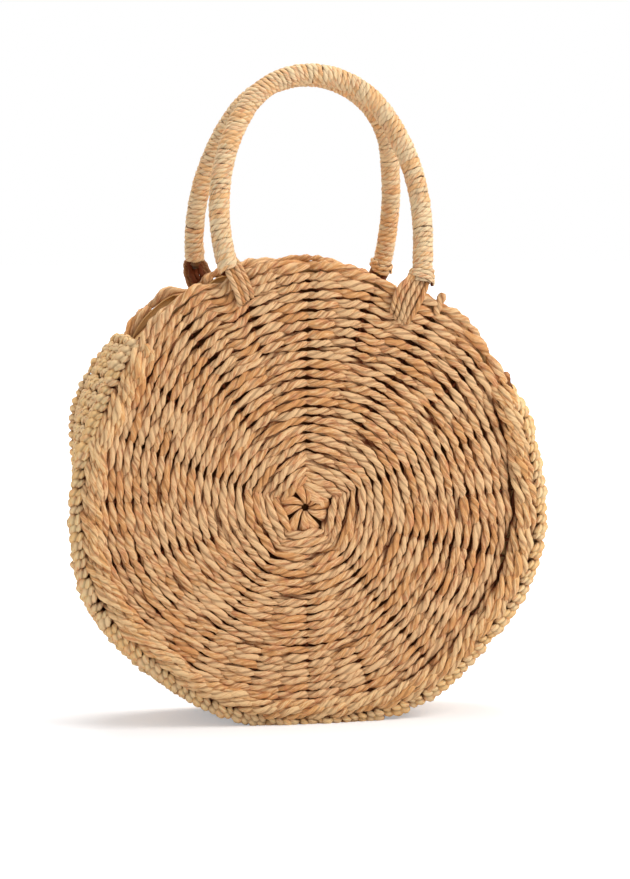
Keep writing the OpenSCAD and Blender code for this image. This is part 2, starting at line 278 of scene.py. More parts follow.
# After the three colours come the two heights in the weave between which the painted shade fades out, then
# the share of painted highlight. On the handles the painted shade lies in the grooves between turns.
straw_disc = straw("straw", (226, 164, 104), (250, 212, 160), (220, 150, 102), -1.7, 2.1, 0.8)
straw_rim = straw("rim_straw", (238, 178, 114), (255, 222, 168), (228, 160, 106), -1.8, 2.0, 0.75)
straw_strip = straw("strip_straw", (255, 208, 144), (255, 236, 186), (244, 180, 126), -3.8, 0.3, 0.6)
straw_handle = straw(
    "handle_straw", (255, 200, 140), (255, 234, 190), (246, 180, 130), -0.3, 0.6, 0.8, ply_groove_shade=0.25
)
print("straws:", [material.name for material in (straw_disc, straw_rim, straw_strip, straw_handle)])


# %% [markdown]
# The lining is a plain tan cotton. Its threads are two sets of fine ribs at right angles, too small to
# model, so they are bump on the cloth's own map. Where the straw hides the lining, its colour is painted
# dark brown as shade for the gaps of the weave; its own tan shows only along its edge at the mouth. The
# zip tape is the same cloth, ribbed one way only.

# %% Cloth and zip
threads_in_metre = 1400.0
# Radii about the disc's axis between which the lining's painted shade gives way to its own tan.
shade_paint_until, own_tan_from = 147.5, 151.0


def ribs(axis):
    """The sine of a piece's own map along one axis: fine parallel ribs, from -1 to 1."""
    uv = Field.node("ShaderNodeUVMap", uv_map="UVMap")
    part = Field.node("ShaderNodeSeparateXYZ", {0: uv}, output=axis)
    return (part * (2 * math.pi * threads_in_metre)).maths("SINE", 0.0)


def cloth(name, colour, shade, across=True, unshaded_colour=None):
    """Ribbed cloth with darker patches. Where faded is given, the colour and the darker patches are painted
    shade, and faded, the cloth's own colour, takes over past a radius about the disc's axis.
    """
    material, shader = new_material(name, 0.9, Specular_IOR_Level=0.15)
    threads = ribs(0) + ribs(1) if across else ribs(0)
    patches = noise(object_place(), 55.0, 3.0)
    base = mixed(shade, colour, (patches + threads * 0.06).step(0.3, 0.62))
    if unshaded_colour:
        values = {0: object_place(), 1: (1, 0, 1), 2: (0, 0, -disc_z / METRE)}
        flat = Field.node("ShaderNodeVectorMath", values, operation="MULTIPLY_ADD")
        radius = Field.node("ShaderNodeVectorMath", {0: flat}, output=1, operation="LENGTH")
        base = mixed(base, unshaded_colour, radius.step(shade_paint_until / METRE, own_tan_from / METRE))
    feed(shader, "Base Color", base)
    feed(shader, "Normal", bump(threads * 0.25 + patches, 0.0006, 0.5))
    return material


def metal(name, colour, worn_colour, roughness):
    """Cast metal, rubbed paler in patches."""
    material, shader = new_material(name, roughness, Metallic=1.0)
    rubbed = noise(object_place(), 260.0, 3.0)
    feed(shader, "Base Color", mixed(colour, worn_colour, rubbed.step(0.45, 0.7)))
    feed(shader, "Roughness", roughness + noise(object_place(), 700.0) * 0.18)
    feed(shader, "Normal", bump(rubbed, 0.0001, 0.3))
    return material


# The lining's two browns are painted shade for the gaps of the weave; past the radii above, its own tan
# shows.
lining_cotton_painted_shade = cloth("lining_cotton_painted_shade", srgb(124, 76, 38), srgb(96, 54, 24), unshaded_colour=srgb(196, 154, 102))
band_cotton = cloth("band_cotton", srgb(226, 180, 122), srgb(204, 156, 98))
tape_cotton = cloth("tape_cotton", srgb(214, 168, 110), srgb(190, 142, 88), across=False)
zip_brass = metal("zip_brass", srgb(196, 158, 92), srgb(226, 198, 140), 0.3)


def mottled(name, roughness, first, second, scale):
    """A plain finish that goes between two colours in soft patches."""
    material, shader = new_material(name, roughness)
    feed(shader, "Base Color", mixed(first, second, noise(object_place(), scale)))
    return material


coil_nylon = mottled("coil_nylon", 0.42, srgb(176, 132, 82), srgb(206, 164, 110), 300.0)
rod_fibre = mottled("rod_fibre", 0.7, srgb(112, 78, 46), srgb(146, 108, 70), 90.0)

# %% [markdown]
# ## Strands
# A strand is a rounded section carried along a path. The path is an array of points, and at each one the
# section stands square to it, with one axis turned to face out of the weave. Blender can sweep a bevel
# along a curve by itself, but such a section can't be two plies that turn, and its points carry no height
# in the weave, from which the straw paints its shade. Several paths with as many points can go into one
# mesh, as the rows of the strip do.

# %% A mesh from arrays
def write_mesh(name, points, corners, counts, uv, numbers, material):
    """Puts whole arrays into a new mesh: points in mm, the corners of all faces and how many each has."""
    mesh = bpy.data.meshes.new(name)
    mesh.vertices.add(len(points))
    mesh.vertices.foreach_set("co", (points / METRE).astype(np.float32).ravel())
    mesh.loops.add(len(corners))
    mesh.loops.foreach_set("vertex_index", corners.astype(np.int32))
    mesh.polygons.add(len(counts))
    starts = np.concatenate([[0], np.cumsum(counts)[:-1]])
    mesh.polygons.foreach_set("loop_start", starts.astype(np.int32))
    mesh.polygons.foreach_set("loop_total", np.asarray(counts, np.int32))
    mesh.update(calc_edges=True)
    mesh.uv_layers.new(name="UVMap").data.foreach_set("uv", uv.astype(np.float32).ravel())
    for label, values in numbers.items():
        layer = mesh.attributes.new(label, "FLOAT", "POINT")
        layer.data.foreach_set("value", np.asarray(values, np.float32).ravel())
    mesh.polygons.foreach_set("use_smooth", np.full(len(counts), True))
    mesh.materials.append(material)
    mesh.validate()
    piece = bpy.data.objects.new(name, mesh)
    bpy.context.scene.collection.objects.link(piece)
    return piece


def unit(vectors):
    """Each vector over its own length."""
    return vectors / np.linalg.norm(vectors, axis=-1, keepdims=True)


def strands(
    name, paths, facing, half_w, half_h, material, sides=12, plies=0.0, lay=15.0,
    tone=0.5, height=0.0, tips=0.3,
):
    """Strands along paths, an array of (strands, rings, 3). facing is the way out of the weave.

    Corner j of a ring stands at the angle a = 2 pi j / sides, and a is turned further by twist, which
    goes round about once in each lay of length. The corner is path + s * half_w * cos(a + twist) * side
    + s * half_h * sin(a + twist) * out. With s = 1 + plies * cos(2 a) the section has a waist, so the
    strand is two plies twisted together, and its edges run along the groove between them. The first and
    last ring shrink to the share tips.
    """
    count, rings = paths.shape[:2]
    tangent = unit(np.gradient(paths, axis=1))
    side = unit(np.cross(tangent, facing))
    out = np.cross(side, tangent)
    gaps = np.linalg.norm(np.diff(paths, axis=1), axis=-1)
    length = np.concatenate([np.zeros((count, 1)), np.cumsum(gaps, axis=1)], axis=1)
    corner = 2 * np.pi * np.arange(sides) / sides
    twist = 2 * np.pi * length / lay + 0.9 * np.sin(length / 9 + 2 * np.sin(length / 31))
    angle = corner + twist[..., None]
    ends = np.ones(rings)
    ends[[0, -1]] = tips
    swell = ends[:, None] * (1 + plies * np.cos(2 * corner))
    wide = np.broadcast_to(half_w, (count, rings))[..., None] * swell * np.cos(angle)
    tall = np.broadcast_to(half_h, (count, rings))[..., None] * swell * np.sin(angle)
    points = (
        paths[:, :, None, :]
        + wide[..., None] * side[:, :, None, :]
        + tall[..., None] * out[:, :, None, :]
    )
    base = np.arange(count * rings).reshape(count, rings, 1) * sides
    here, after = base[:, :-1] + np.arange(sides), base[:, :-1] + np.roll(np.arange(sides), -1)
    quads = np.stack([here, here + sides, after + sides, after], axis=-1).reshape(-1)
    caps = np.concatenate([base[:, 0] + np.arange(sides), base[:, -1] + np.arange(sides)[::-1]], axis=1)
    corners = np.concatenate([quads, caps.reshape(-1)])
    counts = np.concatenate([np.full(len(quads) // 4, 4), np.full(2 * count, sides)])
    around = np.arange(sides) / sides
    low, high = length[:, :-1, None] / METRE, length[:, 1:, None] / METRE
    u = np.stack(np.broadcast_arrays(low, high, high, low), axis=-1)
    u = np.broadcast_to(u, (count, rings - 1, sides, 4))
    v = np.stack([around, around, around + 1 / sides, around + 1 / sides], axis=-1)
    v = np.broadcast_to(v, u.shape)
    uv = np.concatenate([np.stack([u, v], axis=-1).reshape(-1, 2), np.zeros((2 * count * sides, 2))])
    # The height attribute is the height passed in plus how far each corner stands out of the weave. It moves
    # no point: the straw reads it to paint shade where it is low.
    rise = np.broadcast_to(height, (count, rings))[..., None] + tall
    tones = np.repeat(np.broadcast_to(tone, (count, rings))[..., None], sides, axis=-1)
    numbers = {"height": rise, "tone": tones}
    return write_mesh(name, points.reshape(-1, 3), corners, counts, uv, numbers, material)


# %% [markdown]
# A bag is never as round as its pattern. Where this one was photographed, the rim stands out a little at
# the lower left and at the right, and the back edge is pushed in on the left. A table holds these moves.
# One function moves every point of the bag's body the same way, so that discs, strip and lining stay
# together. It also settles the bottom: what would reach through the floor is pressed up on it softly.

# %% How the body has settled
# How far the edge stands out at every 10 degrees from +X, in mm: first in front, then behind
rim_moves = np.array([
    (3.8, 1.2, 0.4, 6.5, 8.6, 8.6, 5.0, 1.6, 1.6, 1.8, 2.9, 4.6, 9.4, 8.2, 1.8, -4.0, -4.5, -1.7,
     0.7, 2.1, 4.7, 4.0, -0.8, -2.6, -1.6, -2.0, -2.2, -2.2, -1.4, 1.5, 4.6, 4.0, 2.7, 7.2, 8.6, 7.8),
    (2.6, 1.6, 1.4, 2.6, 4.5, 6.6, 8.5, 8.5, 6.5, 2.6, 1.5, 3.0, 5.7, 3.8, -5.2, -4.6, -6.9, -14.3,
     -22.0, -17.0, -8.2, -4.0, -3.2, -3.5, -2.5, -1.0, 0.0, 0.1, 0.5, 1.3, 2.0, 2.0, 2.0, 3.2, 4.6, 4.2),
])
floor_knee, floor_rest = 3.0, 0.2
# Where a handle's feet stand, in degrees to either side of the top, and how far the edge is pressed in
# under them in front and behind, in mm
feet_from_top = math.degrees(math.atan2(handle_foot_half_w, hinge_middle[2] - disc_z))
foot_dip = (6.2, 12.0)
# Where the strip ends at the upper left, in degrees from +X
strip_left_end = 143


def turned_from(angle, mark):
    """How many degrees an angle is past a mark, the shorter way round."""
    return (angle - mark + 180) % 360 - 180


def bell(away, width):
    """exp(-(away / width)^2), which is 1 in the middle and 0.37 a width away from it."""
    return np.exp(-((away / width) ** 2))


def settle(points):
    """Moves points of the body. In the plane of the disc a point moves out by the edge's move at its
    angle, times the square of radius / rim radius. Between the ten-degree marks the moves are averaged
    with a bell's weights. Under each foot of a handle the edge is pressed in by foot_dip times a bell.
    Behind, the strip's upper left end is drawn in towards the front. Below the knee the height falls off
    exponentially towards floor_rest, above the floor."""
    x, y, z = points[..., 0], points[..., 1], points[..., 2] - disc_z
    radius = np.hypot(x, z)
    angle = np.degrees(np.arctan2(z, x))
    back = np.clip(y / cord_y * 0.5 + 0.5, 0, 1)
    weight = bell(turned_from(angle[..., None], 10.0 * np.arange(36)), 7)
    at_front, at_back = np.moveaxis(weight @ rim_moves.T / weight.sum(axis=-1, keepdims=True), -1, 0)
    outwards = np.minimum(radius / rim_r, 1.05) ** 2
    stretch = 1 + (at_front + (at_back - at_front) * back) / rim_r * outwards
    dip = foot_dip[0] + (foot_dip[1] - foot_dip[0]) * back
    stretch = stretch - dip / rim_r * outwards * bell(np.abs(turned_from(angle, 90)) - feet_from_top, 3.6)
    drawn_in = 0.16 * outwards * bell(turned_from(angle, strip_left_end), 12)
    y = np.where(y > 0, y * (1 - drawn_in), y)
    height = z * stretch + disc_z
    soft = floor_knee - floor_rest
    pressed = floor_rest + soft * np.exp((np.minimum(height, floor_knee) - floor_knee) / soft)
    height = np.where(height < floor_knee, pressed, height)
    return np.stack([x * stretch, y, height], axis=-1)


def in_gusset(angle, blur):
    """1 where the strip closes the edge of the bag, 0 along the mouth, and straight across the blur
    between them. Angles in degrees from +X."""
    middle, half = (mouth_start + mouth_end) / 2, (mouth_end - mouth_start) / 2
    return np.clip((np.abs(turned_from(angle, middle)) - half) / blur + 0.5, 0, 1)


def on_circle(radius, angle):
    """x and z of a point at a radius and an angle about a disc's axis: r cos a and r sin a."""
    return radius * np.cos(np.radians(angle)), radius * np.sin(np.radians(angle))


# %% [markdown]
# ## The discs
# A disc is twined from its middle outwards: two strands run side by side in one long spiral, and cross
# between each pair of spokes, so that each lies in front of one spoke and behind the next. Seen from
# the front, a strand shows as a row of slanting stitches. With t the number of turns so far and N the
# number of spokes, the pair has crossed N * t times, so the strand's place in its dance is an angle
# psi = pi * N * t. Its height is cos(psi) and its shift along the radius is -sin(psi), and the second
# strand is half a turn behind. From the fourth row on each strand also keeps to its own side of the row,
# so the stitches between two spokes interlock like bricks with those between the next two. Spokes double
# as the disc grows: 5, 10, 20, 40. Five spokes make the first rows a pentagon, which fades out row by row.
# A picture of a weave on a flat disc would be less work, but no light would fall between its strands.

# %% Where a point of the weave lies
# How far the hub lies to the right of and above the disc's middle, as seen from outside
hub_from_middle = {-1: (-4.9, -9.4), 1: (3.0, -5.0)}
# The angle at which the spiral starts and a corner of the pentagon stands
first_boundary = 18.0
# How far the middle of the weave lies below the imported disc's face
weave_depth = 1.2
ridge_r, valley_r = 152.5, 141.5


def on_disc(face, radius, angle, height):
    """Points of a disc's weave, and the way out of it there. face is -1 in front and 1 behind.

    A point lies at radius and angle about the hub. The rows are a pentagon near the hub: its radius is
    that of a circle over the cosine of the angle from the middle of a side. The hub's shift fades with
    the square of the radius, and the face bulges by the crown. Along the strip the face rises to a ridge
    at the edge, with a valley inside it that is deeper on the right. Both are bells of the distance from
    the middle, and a slow wave lies over all.
    """
    turned = (angle - first_boundary) % 72 - 36
    polygon = 1 / np.cos(np.radians(turned)) / 1.0716
    amount = np.interp(radius, [12, 22, 38, 64], [1.0, 0.85, 0.3, 0.05])
    radius = radius * (1 + (polygon - 1) * amount)
    share = np.clip(radius / rim_r, 0, 1)
    x, z = on_circle(radius, angle)
    x = -face * (x + hub_from_middle[face][0] * (1 - share**2))
    z = z + hub_from_middle[face][1] * (1 - share**2)
    from_middle = np.hypot(x, z)
    true_angle = np.degrees(np.arctan2(z, x))
    edge = in_gusset(true_angle, 10.0)
    ridge = 2.2 * edge * bell(from_middle - ridge_r, 6.5)
    right_side = bell(turned_from(true_angle, -12), 46)
    valley = (1.2 * edge + 2.6 * right_side) * bell(from_middle - valley_r, 5.5)
    sway = 0.9 * np.sin(np.radians(true_angle * 3 + 40)) * np.sin(np.pi * from_middle / rim_r)
    bulge = panel_crown * (1 - (from_middle / panel_r) ** 2)
    y = cord_y + panel_t / 2 - weave_depth + bulge + ridge - valley + sway + height
    points = settle(np.stack([x, face * y, z + disc_z], axis=-1))
    slope = 2 * panel_crown / panel_r**2
    out = unit(np.stack([slope * x, np.full_like(x, face), slope * z], axis=-1))
    return points, out


# %% [markdown]
# The spiral's rings are spaced evenly along the cord. Its length after t turns is
# 2 pi (r0 t + pitch t^2 / 2), which is solved for t. The stitches are irregular by hand: each has its own
# small shift, thickness and tone, and these slide from one stitch to the next. Where the spokes double,
# the row is thinner, and a ring of dark gaps shows.

# %% The twined spiral
row_pitch, first_row_r = 6.03, 15.5
twine_half_w, twine_half_h, twine_lay = 2.85, 2.0, 25.0
# How far the strands of a pair swing sideways and up
pair_swing, pair_lift = 1.6, 1.9
# How many turns are done where the number of spokes changes, and the number from there on
turns_at_change = (0, 3, 8, 15, 26)
spokes_between = (5, 10, 20, 40)
crossings = np.concatenate([[0], np.cumsum(np.multiply(spokes_between, np.diff(turns_at_change)))])
last_turn = 23.37
ring_gap = 1.36


def put_on(piece, body, slot, *nodes):
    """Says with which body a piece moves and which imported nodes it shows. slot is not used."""
    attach(piece, body)
    if nodes:
        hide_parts(*nodes)


def turns_at(length):
    """The number of turns after a length of cord: the formula above, solved for t."""
    return (np.sqrt(first_row_r**2 + row_pitch * length / np.pi) - first_row_r) / row_pitch


def twined(phase, seed, side_swing, half_w, half_h):
    """The dance of one strand of a pair: its shift along the row's width, its height, its half width
    and half height, and a tone for each stitch. A stitch is half a turn of the phase, pi long. The shift
    goes with -sin(phase), and the height with tanh(1.6 cos(phase)), which stays up longer than a cosine
    and crosses faster. A strand is widest in mid-stitch, by the square root of |cos(phase)|."""
    rng = np.random.default_rng(seed)
    stitch = phase / np.pi
    marks = np.arange(np.floor(stitch.min()) - 1, np.ceil(stitch.max()) + 2)
    looks = rng.normal(size=(4, len(marks)))

    def drift(row):
        return np.interp(stitch.ravel(), marks, looks[row]).reshape(stitch.shape)

    over = np.tanh(1.6 * np.cos(phase)) / np.tanh(1.6)
    belly = np.sqrt(np.abs(np.cos(phase)))
    shift = -side_swing * np.sin(phase) + 0.2 * drift(0)
    height = pair_lift * over + 0.35 * drift(1)
    wide = half_w * (0.54 + 0.46 * belly + 0.07 * drift(2))
    tall = half_h * (0.84 + 0.16 * belly)
    tone = np.clip(0.5 + 0.3 * drift(3), 0, 1)
    return shift, height, wide, tall, tone


def spiral_strand(face, name, seed, second):
    """One of a disc's two long strands. Along the strip its last rows sink under the rope, and along the
    mouth they lie a little closer and fuller."""
    total = np.pi * last_turn * (2 * first_row_r + row_pitch * last_turn)
    length = np.linspace(0, total, int(total / ring_gap))
    turn = turns_at(length)
    phase = np.pi * (0.5 + np.interp(turn, turns_at_change, crossings) + second)
    outer = np.clip(turn - 2.3, 0, 1)
    swing_here = pair_swing - 0.7 * outer
    shift, height, wide, tall, tone = twined(phase, seed, swing_here, twine_half_w, twine_half_h)
    marks = np.arange(0, total + 60, 30.0)
    wander = np.interp(length, marks, np.random.default_rng(face + 8).normal(size=len(marks)))
    angle = first_boundary + 360 * turn
    radius = first_row_r + row_pitch * turn
    own_side = np.where(face < 0, angle, 180 - angle) % 360
    under_rope = np.clip((radius - 145.5) / 4, 0, 1) * in_gusset(own_side, 6.0)
    at_mouth = np.clip((radius - 143) / 5, 0, 1) * (1 - in_gusset(own_side, 6.0))
    height = height - 3.0 * under_rope
    beside = 1.1 * outer * (1 - 0.5 * under_rope)
    shift = shift + (beside if second else -beside) + 0.36 * wander * (1 - 0.8 * at_mouth)
    path, out = on_disc(face, radius + shift - 0.7 * at_mouth, angle, height)
    at_change = bell(turn[:, None] - turns_at_change[1:4], 0.5).sum(axis=1)
    fuller = 1 - 0.35 * under_rope + 0.08 * at_mouth - 0.15 * at_change
    # Along the mouth the height passed on is raised, so that less shade is painted on the rows there.
    return strands(
        name, path[None], out[None], wide * fuller, tall * fuller, straw_disc, sides=10, plies=0.22,
        lay=twine_lay, tone=tone, height=height + (2.5 if face < 0 else 4.2) * at_mouth,
    )


disc_pieces = {}
for face, side_name in both_sides:
    for letter, second in (("a", 0), ("b", 1)):
        name = f"{side_name}_twine_{letter}"
        piece = spiral_strand(face, name, 11 + face * 3 + second, second)
        put_on(piece, "bag", "woven_straw", f"{side_name}_panel", f"{side_name}_rim_cord")
        disc_pieces[name] = piece
print("twined strands:", {name: len(piece.data.polygons) for name, piece in disc_pieces.items()})

# %% [markdown]
# The spokes lie in the middle of the weave, hidden but for the gaps between rows. At the hub they are
# worked into a small rosette: ten short loops that lean over each other round a dark hole. One strand
# ends in a short stub that sticks out of the rim.

# %% Spokes and hub
spoke_r = 1.5


def spokes(face, name):
    """Straight radial cords. Where they double, two new ones lie a quarter of a gap to either side of
    each old one, which runs on between them."""
    paths, outs = [], []
    steps = np.linspace(0, 1, 24)
    for count, first in zip(spokes_between, turns_at_change):
        start = first_row_r + row_pitch * max(first - 1, -1.2)
        angle = first_boundary + 360 / count * (np.arange(count) + 0.5)
        radius = start + (rim_r - 12 - start) * steps
        radius, angle = np.broadcast_arrays(radius[None, :], angle[:, None])
        path, out = on_disc(face, radius, angle, np.full(radius.shape, -1.5))
        paths.append(path)
        outs.append(out)
    # At a height of -5 the spokes lie under all of the straw's painted gap shade and are painted dark brown
    # all over.
    return strands(
        name, np.concatenate(paths), np.concatenate(outs), spoke_r, spoke_r, straw_disc,
        sides=6, tone=0.3, height=-5.0,
    )


def hub(face, name):
    """Ten petals, each a short strand from the hole outwards. It widens with the radius, so that the
    petals fill the rosette, leans as it goes, rises and dives like a sine over its length, and ends
    under the first row. Two more loops lie straight across the petals on one side."""
    rng = np.random.default_rng(40 + face)
    petals, steps = 10, np.linspace(0, 1, 16)
    radius = 2.5 + 14.5 * steps
    jitter = rng.normal(size=(3, petals, 1))
    start = 360 / petals * np.arange(petals)[:, None] + 9 + 3.0 * jitter[0]
    angle = start - 14 * (1 - steps) ** 1.5 + 5 * jitter[1] * steps
    rise = 1.5 * np.sin(np.pi * steps**0.8) - 0.8 * (1 - steps) + 0.5 * jitter[2] - 1.5 * steps**5
    radius = np.broadcast_to(radius, angle.shape)
    path, out = on_disc(face, radius, angle, rise)
    wide = np.broadcast_to(np.pi * radius[0] / petals * 0.98, radius.shape)
    ends = np.array([[(-1.5, 15.0), (14.5, 3.0)], [(2.0, 10.0), (13.0, -0.5)]])
    loops = ends[:, :1] + (ends[:, 1:] - ends[:, :1]) * steps[None, :, None]
    loop_x, loop_z = loops[..., 0], loops[..., 1]
    loop_rise = 2.6 * np.sin(np.pi * steps) ** 0.7 - 1.0 + np.zeros((2, 1))
    loop_angle = np.degrees(np.arctan2(loop_z, loop_x))
    loop_path, loop_out = on_disc(face, np.hypot(loop_x, loop_z), loop_angle, loop_rise)
    return strands(
        name, np.concatenate([path, loop_path]), np.concatenate([out, loop_out]),
        np.concatenate([wide, np.full(loop_rise.shape, 2.3)]), 1.8, straw_disc, plies=0.1, lay=60.0,
        tone=np.linspace(0.0, 0.6, petals + 2)[:, None],
        height=np.concatenate([rise - 0.4, loop_rise - 0.6]),
    )


def stub(name):
    """The end of a strand that sticks out of the rim beside the right foot in front."""
    steps = np.linspace(0, 1, 10)
    path, out = on_disc(-1, 148.0 + 13.5 * steps, 53.6 + 1.4 * steps, 1.0 + 0 * steps)
    return strands(
        name, path[None], out[None], 2.9, 2.6, straw_disc, sides=10, plies=0.2, lay=14.0, height=1.0, tips=0.7
    )


for face, side_name in both_sides:
    put_on(spokes(face, f"{side_name}_spokes"), "bag", "woven_straw")
    put_on(hub(face, f"{side_name}_hub"), "bag", "woven_straw")
put_on(stub("front_strand_end"), "bag", "woven_straw")
print("spokes on each disc:", sum(spokes_between))

# %% [markdown]
# ## The rim
# Along the strip the edge of each disc is worked over with thicker, looser strands, a rope three rows wide
# that stands proud of the disc. It is twined like the disc, with longer and rougher stitches.

# %% The rope along the seam
# The radius of each of the three rows, how far it stands up and the length of a stitch
rope_rows = (148.9, 153.2, 157.3)
rope_lift = (1.1, 1.5, -0.2)
rope_stitch = 17.0


def seam_rope(face, name):
    """Three rows of two strands, along the arc of the strip and a little past its ends."""
    arc = np.linspace(mouth_end - 2, mouth_start + 362, 480)
    marks = np.arange(110, 420, 7.0)
    wander = np.interp(arc, marks, np.random.default_rng(60 + face).normal(size=len(marks)))
    paths, outs, looks = [], [], []
    for row, row_r in enumerate(rope_rows):
        length = np.radians(arc) * row_r
        for second in (0, 1):
            phase = np.pi * (length / rope_stitch + second + 0.45 * row)
            seed = 31 + face + 4 * row + 2 * second
            shift, height, wide, tall, tone = twined(phase, seed, pair_swing, 2.65, 2.0)
            ends = np.clip(np.minimum(arc - arc[0], arc[-1] - arc) / 4, 0, 1)
            height = 1.2 * height + rope_lift[row] - 3.0 * (1 - ends)
            own_angle = arc if face < 0 else 180 - arc
            path, out = on_disc(face, row_r + shift + 0.9 * wander, own_angle, height)
            paths.append(path)
            outs.append(out)
            # The height passed on lies half a millimetre below the strand, for a little more painted shade.
            looks.append((wide, tall, tone, height - 0.5))
    wide, tall, tone, height = (np.stack(part) for part in zip(*looks))
    return strands(
        name, np.stack(paths), np.stack(outs), wide, tall, straw_rim, sides=10, plies=0.22, lay=25.0,
        tone=tone, height=height,
    )


for face, side_name in both_sides:
    put_on(seam_rope(face, f"{side_name}_seam_rope"), "bag", "straw_rope", f"{side_name}_seam_cord")

# %% [markdown]
# ## The strip
# The strip between the discs is crocheted across its width, row after row, about 6 mm apart. Each row is
# a twined pair, and neighbouring rows lean opposite ways, which reads as a field of small nubs. At both
# edges the cord turns back, and its turns stand up as a row of round knobs along the seam.

# %% The crocheted strip
row_step = 6.1
strip_r = knob_r - 3.9
strip_bulge = 4.0
nub_l = 15.0


def on_strip(angle, y, height):
    """Points of the strip. Height is measured out from the disc's axis, from a radius that is the
    strip's own at the seams and grows towards the middle by the bulge times 1 - (y / half width)^2."""
    radius = strip_r + height + strip_bulge * np.clip(1 - (y / strip_half_w) ** 2, 0, 1)
    x, z = on_circle(radius, angle)
    points = settle(np.stack([x, np.broadcast_to(y, x.shape), z + disc_z], axis=-1))
    return points, unit(np.stack([x, np.zeros_like(x), z], axis=-1))


strip_span = mouth_start + 357.8 - mouth_end
strip_rows = int(np.radians(strip_span) * strip_r / row_step)
row_angle = mouth_end + strip_span * (np.arange(strip_rows) + 0.5) / strip_rows
row_jitter = np.random.default_rng(5).normal(size=(3, strip_rows, 1))


def strip_strand(name, second):
    """One strand of every row, straight across the strip. Every other row is half a stitch on and leans
    the other way. At the edges a row stands up, but for the last two, which turn down."""
    across = np.linspace(-strip_half_w - 4.0, strip_half_w + 4.0, 44)
    number = np.arange(strip_rows)[:, None]
    start = np.where(number % 2, 0.5, 0.0) + 0.2 * row_jitter[0]
    phase = np.pi * (across / nub_l + start + second)
    shift, height, wide, tall, tone = twined(phase, 51 + second, pair_swing, 2.75, 1.9)
    shift = shift * np.where(number % 2, 1, -1)
    angle = row_angle[:, None] + np.degrees((shift + 0.5 * row_jitter[1]) / strip_r)
    edge = 2.6 * np.clip((np.abs(across) - strip_half_w + 3) / 4, 0, 1)
    path, out = on_strip(angle, across, height - 1.4 + edge * np.where(number > strip_rows - 3, -1, 1))
    return strands(
        name, path, out, wide, tall, straw_strip, sides=8, plies=0.22, lay=13.0,
        tone=np.clip(tone + 0.12 * row_jitter[2], 0, 1), height=height,
    )


for letter, second in (("a", 0), ("b", 1)):
    put_on(strip_strand(f"strip_twine_{letter}", second), "bag", "crochet_straw", "gusset")


# %% [markdown]
# A knob is one bend of the strip's cord, pulled tight round the edge. One knob repeated would look like a
# string of beads, so each is drawn with its own numbers, and all of them go into one mesh.

# %% The knobs along the seams
knob_half_w, knob_half_h = 3.6, 3.1


def knobs(face, name):
    """Barrels bent over the edge, from under the rope onto the strip, each with its own lean, size and
    tone. Their ends are round: the half width is that of the barrel times
    (1 - |2 s - 1|^2.6)^(1 / 2.6). They face away from a line 12 mm inside the edge, and the first and
    last three sink into the strip, so that its ends close."""
    rng = np.random.default_rng(71 + face)
    lean, size, swing, tone = rng.normal(size=(4, strip_rows, 1))
    steps = 0.5 - 0.5 * np.cos(np.pi * np.linspace(0.03, 0.97, 12))
    sideways = (1.7 * lean + 4.2) * (steps - 0.5) + 0.5 * swing
    angle = row_angle[:, None] + np.degrees(sideways / strip_r)
    number = np.arange(strip_rows)[:, None]
    at_left, at_right = (np.clip(1 - n / 3, 0, 1) for n in (number, strip_rows - 1 - number))
    at_end = at_left + 1.4 * at_right
    over = np.sin(np.pi / 2 * np.minimum(steps / 0.75, 1))
    rise = 0.25 * size - 4.6 + 8.2 * over - 1.8 * np.clip(steps / 0.25 - 3, 0, 1) ** 2
    from_front = 10.0 * (1 - np.cos(np.pi / 2 * steps)) + 0.3 * swing
    path = on_strip(angle, face * (cord_y + 1.0 - from_front), rise - 4.5 * at_end)[0]
    inside = on_strip(angle, face * (cord_y - 12.0), -10.0)[0]
    profile = (1 - np.abs(2 * steps - 1) ** 2.6) ** (1 / 2.6) * (1 + 0.09 * size)
    # The height passed on paints shade on each knob, darkest where it comes out from under the rope.
    return strands(
        name, path, unit(path - inside), knob_half_w * profile, knob_half_h * profile, straw_strip,
        plies=0.16, tone=np.clip(0.4 + 0.3 * tone, 0, 1), height=rise * 0.2 - 2.2, tips=1.0,
    )


for face, side_name in both_sides:
    put_on(knobs(face, f"{side_name}_knobs"), "bag", "crochet_straw", "gusset")
print("rows in the strip:", strip_rows)

# %% [markdown]
# ## The handles
# A handle is a stiff rod bent to a three-centred arch and wound with cord. The arch is worked out flat, as
# in the part: a top arc, a longer arc down each side, and a leg that curves in to the foot. Then it leans
# on its hinge line, the line between its feet, until the two handles almost touch.

# %% The arch
handle_r, handle_half_w = 7.3, 72.5
handle_rise, handle_waist, handle_top_r = 143.0, 40.0, 60.0
foot_stub = 3.5
# The hinge lines slope a little, so the right foot is lower than the middle by this much
foot_lift = handle_foot_half_w * -hinge_axis[2] / hinge_axis[0]
top_centre = handle_rise - handle_top_r
waist_to_top = handle_rise - handle_waist
side_r = (
    handle_half_w**2 + waist_to_top**2 - 2 * waist_to_top * handle_top_r
) / (2 * (handle_half_w - handle_top_r))
join_angle = math.atan2(top_centre - handle_waist, side_r - handle_half_w)
reach = top_centre * abs(hinge_axis[0]) + handle_top_r
handle_lean = math.asin((-hinge_middle[1] - handle_r - 0.15) / reach)


def arc(x, z, radius, start, end):
    """Points round the centre (x, z), from one angle to another: x + r cos a and z + r sin a."""
    angle = np.linspace(start, end, 200)
    return np.stack([x + radius * np.cos(angle), z + radius * np.sin(angle)], axis=-1)


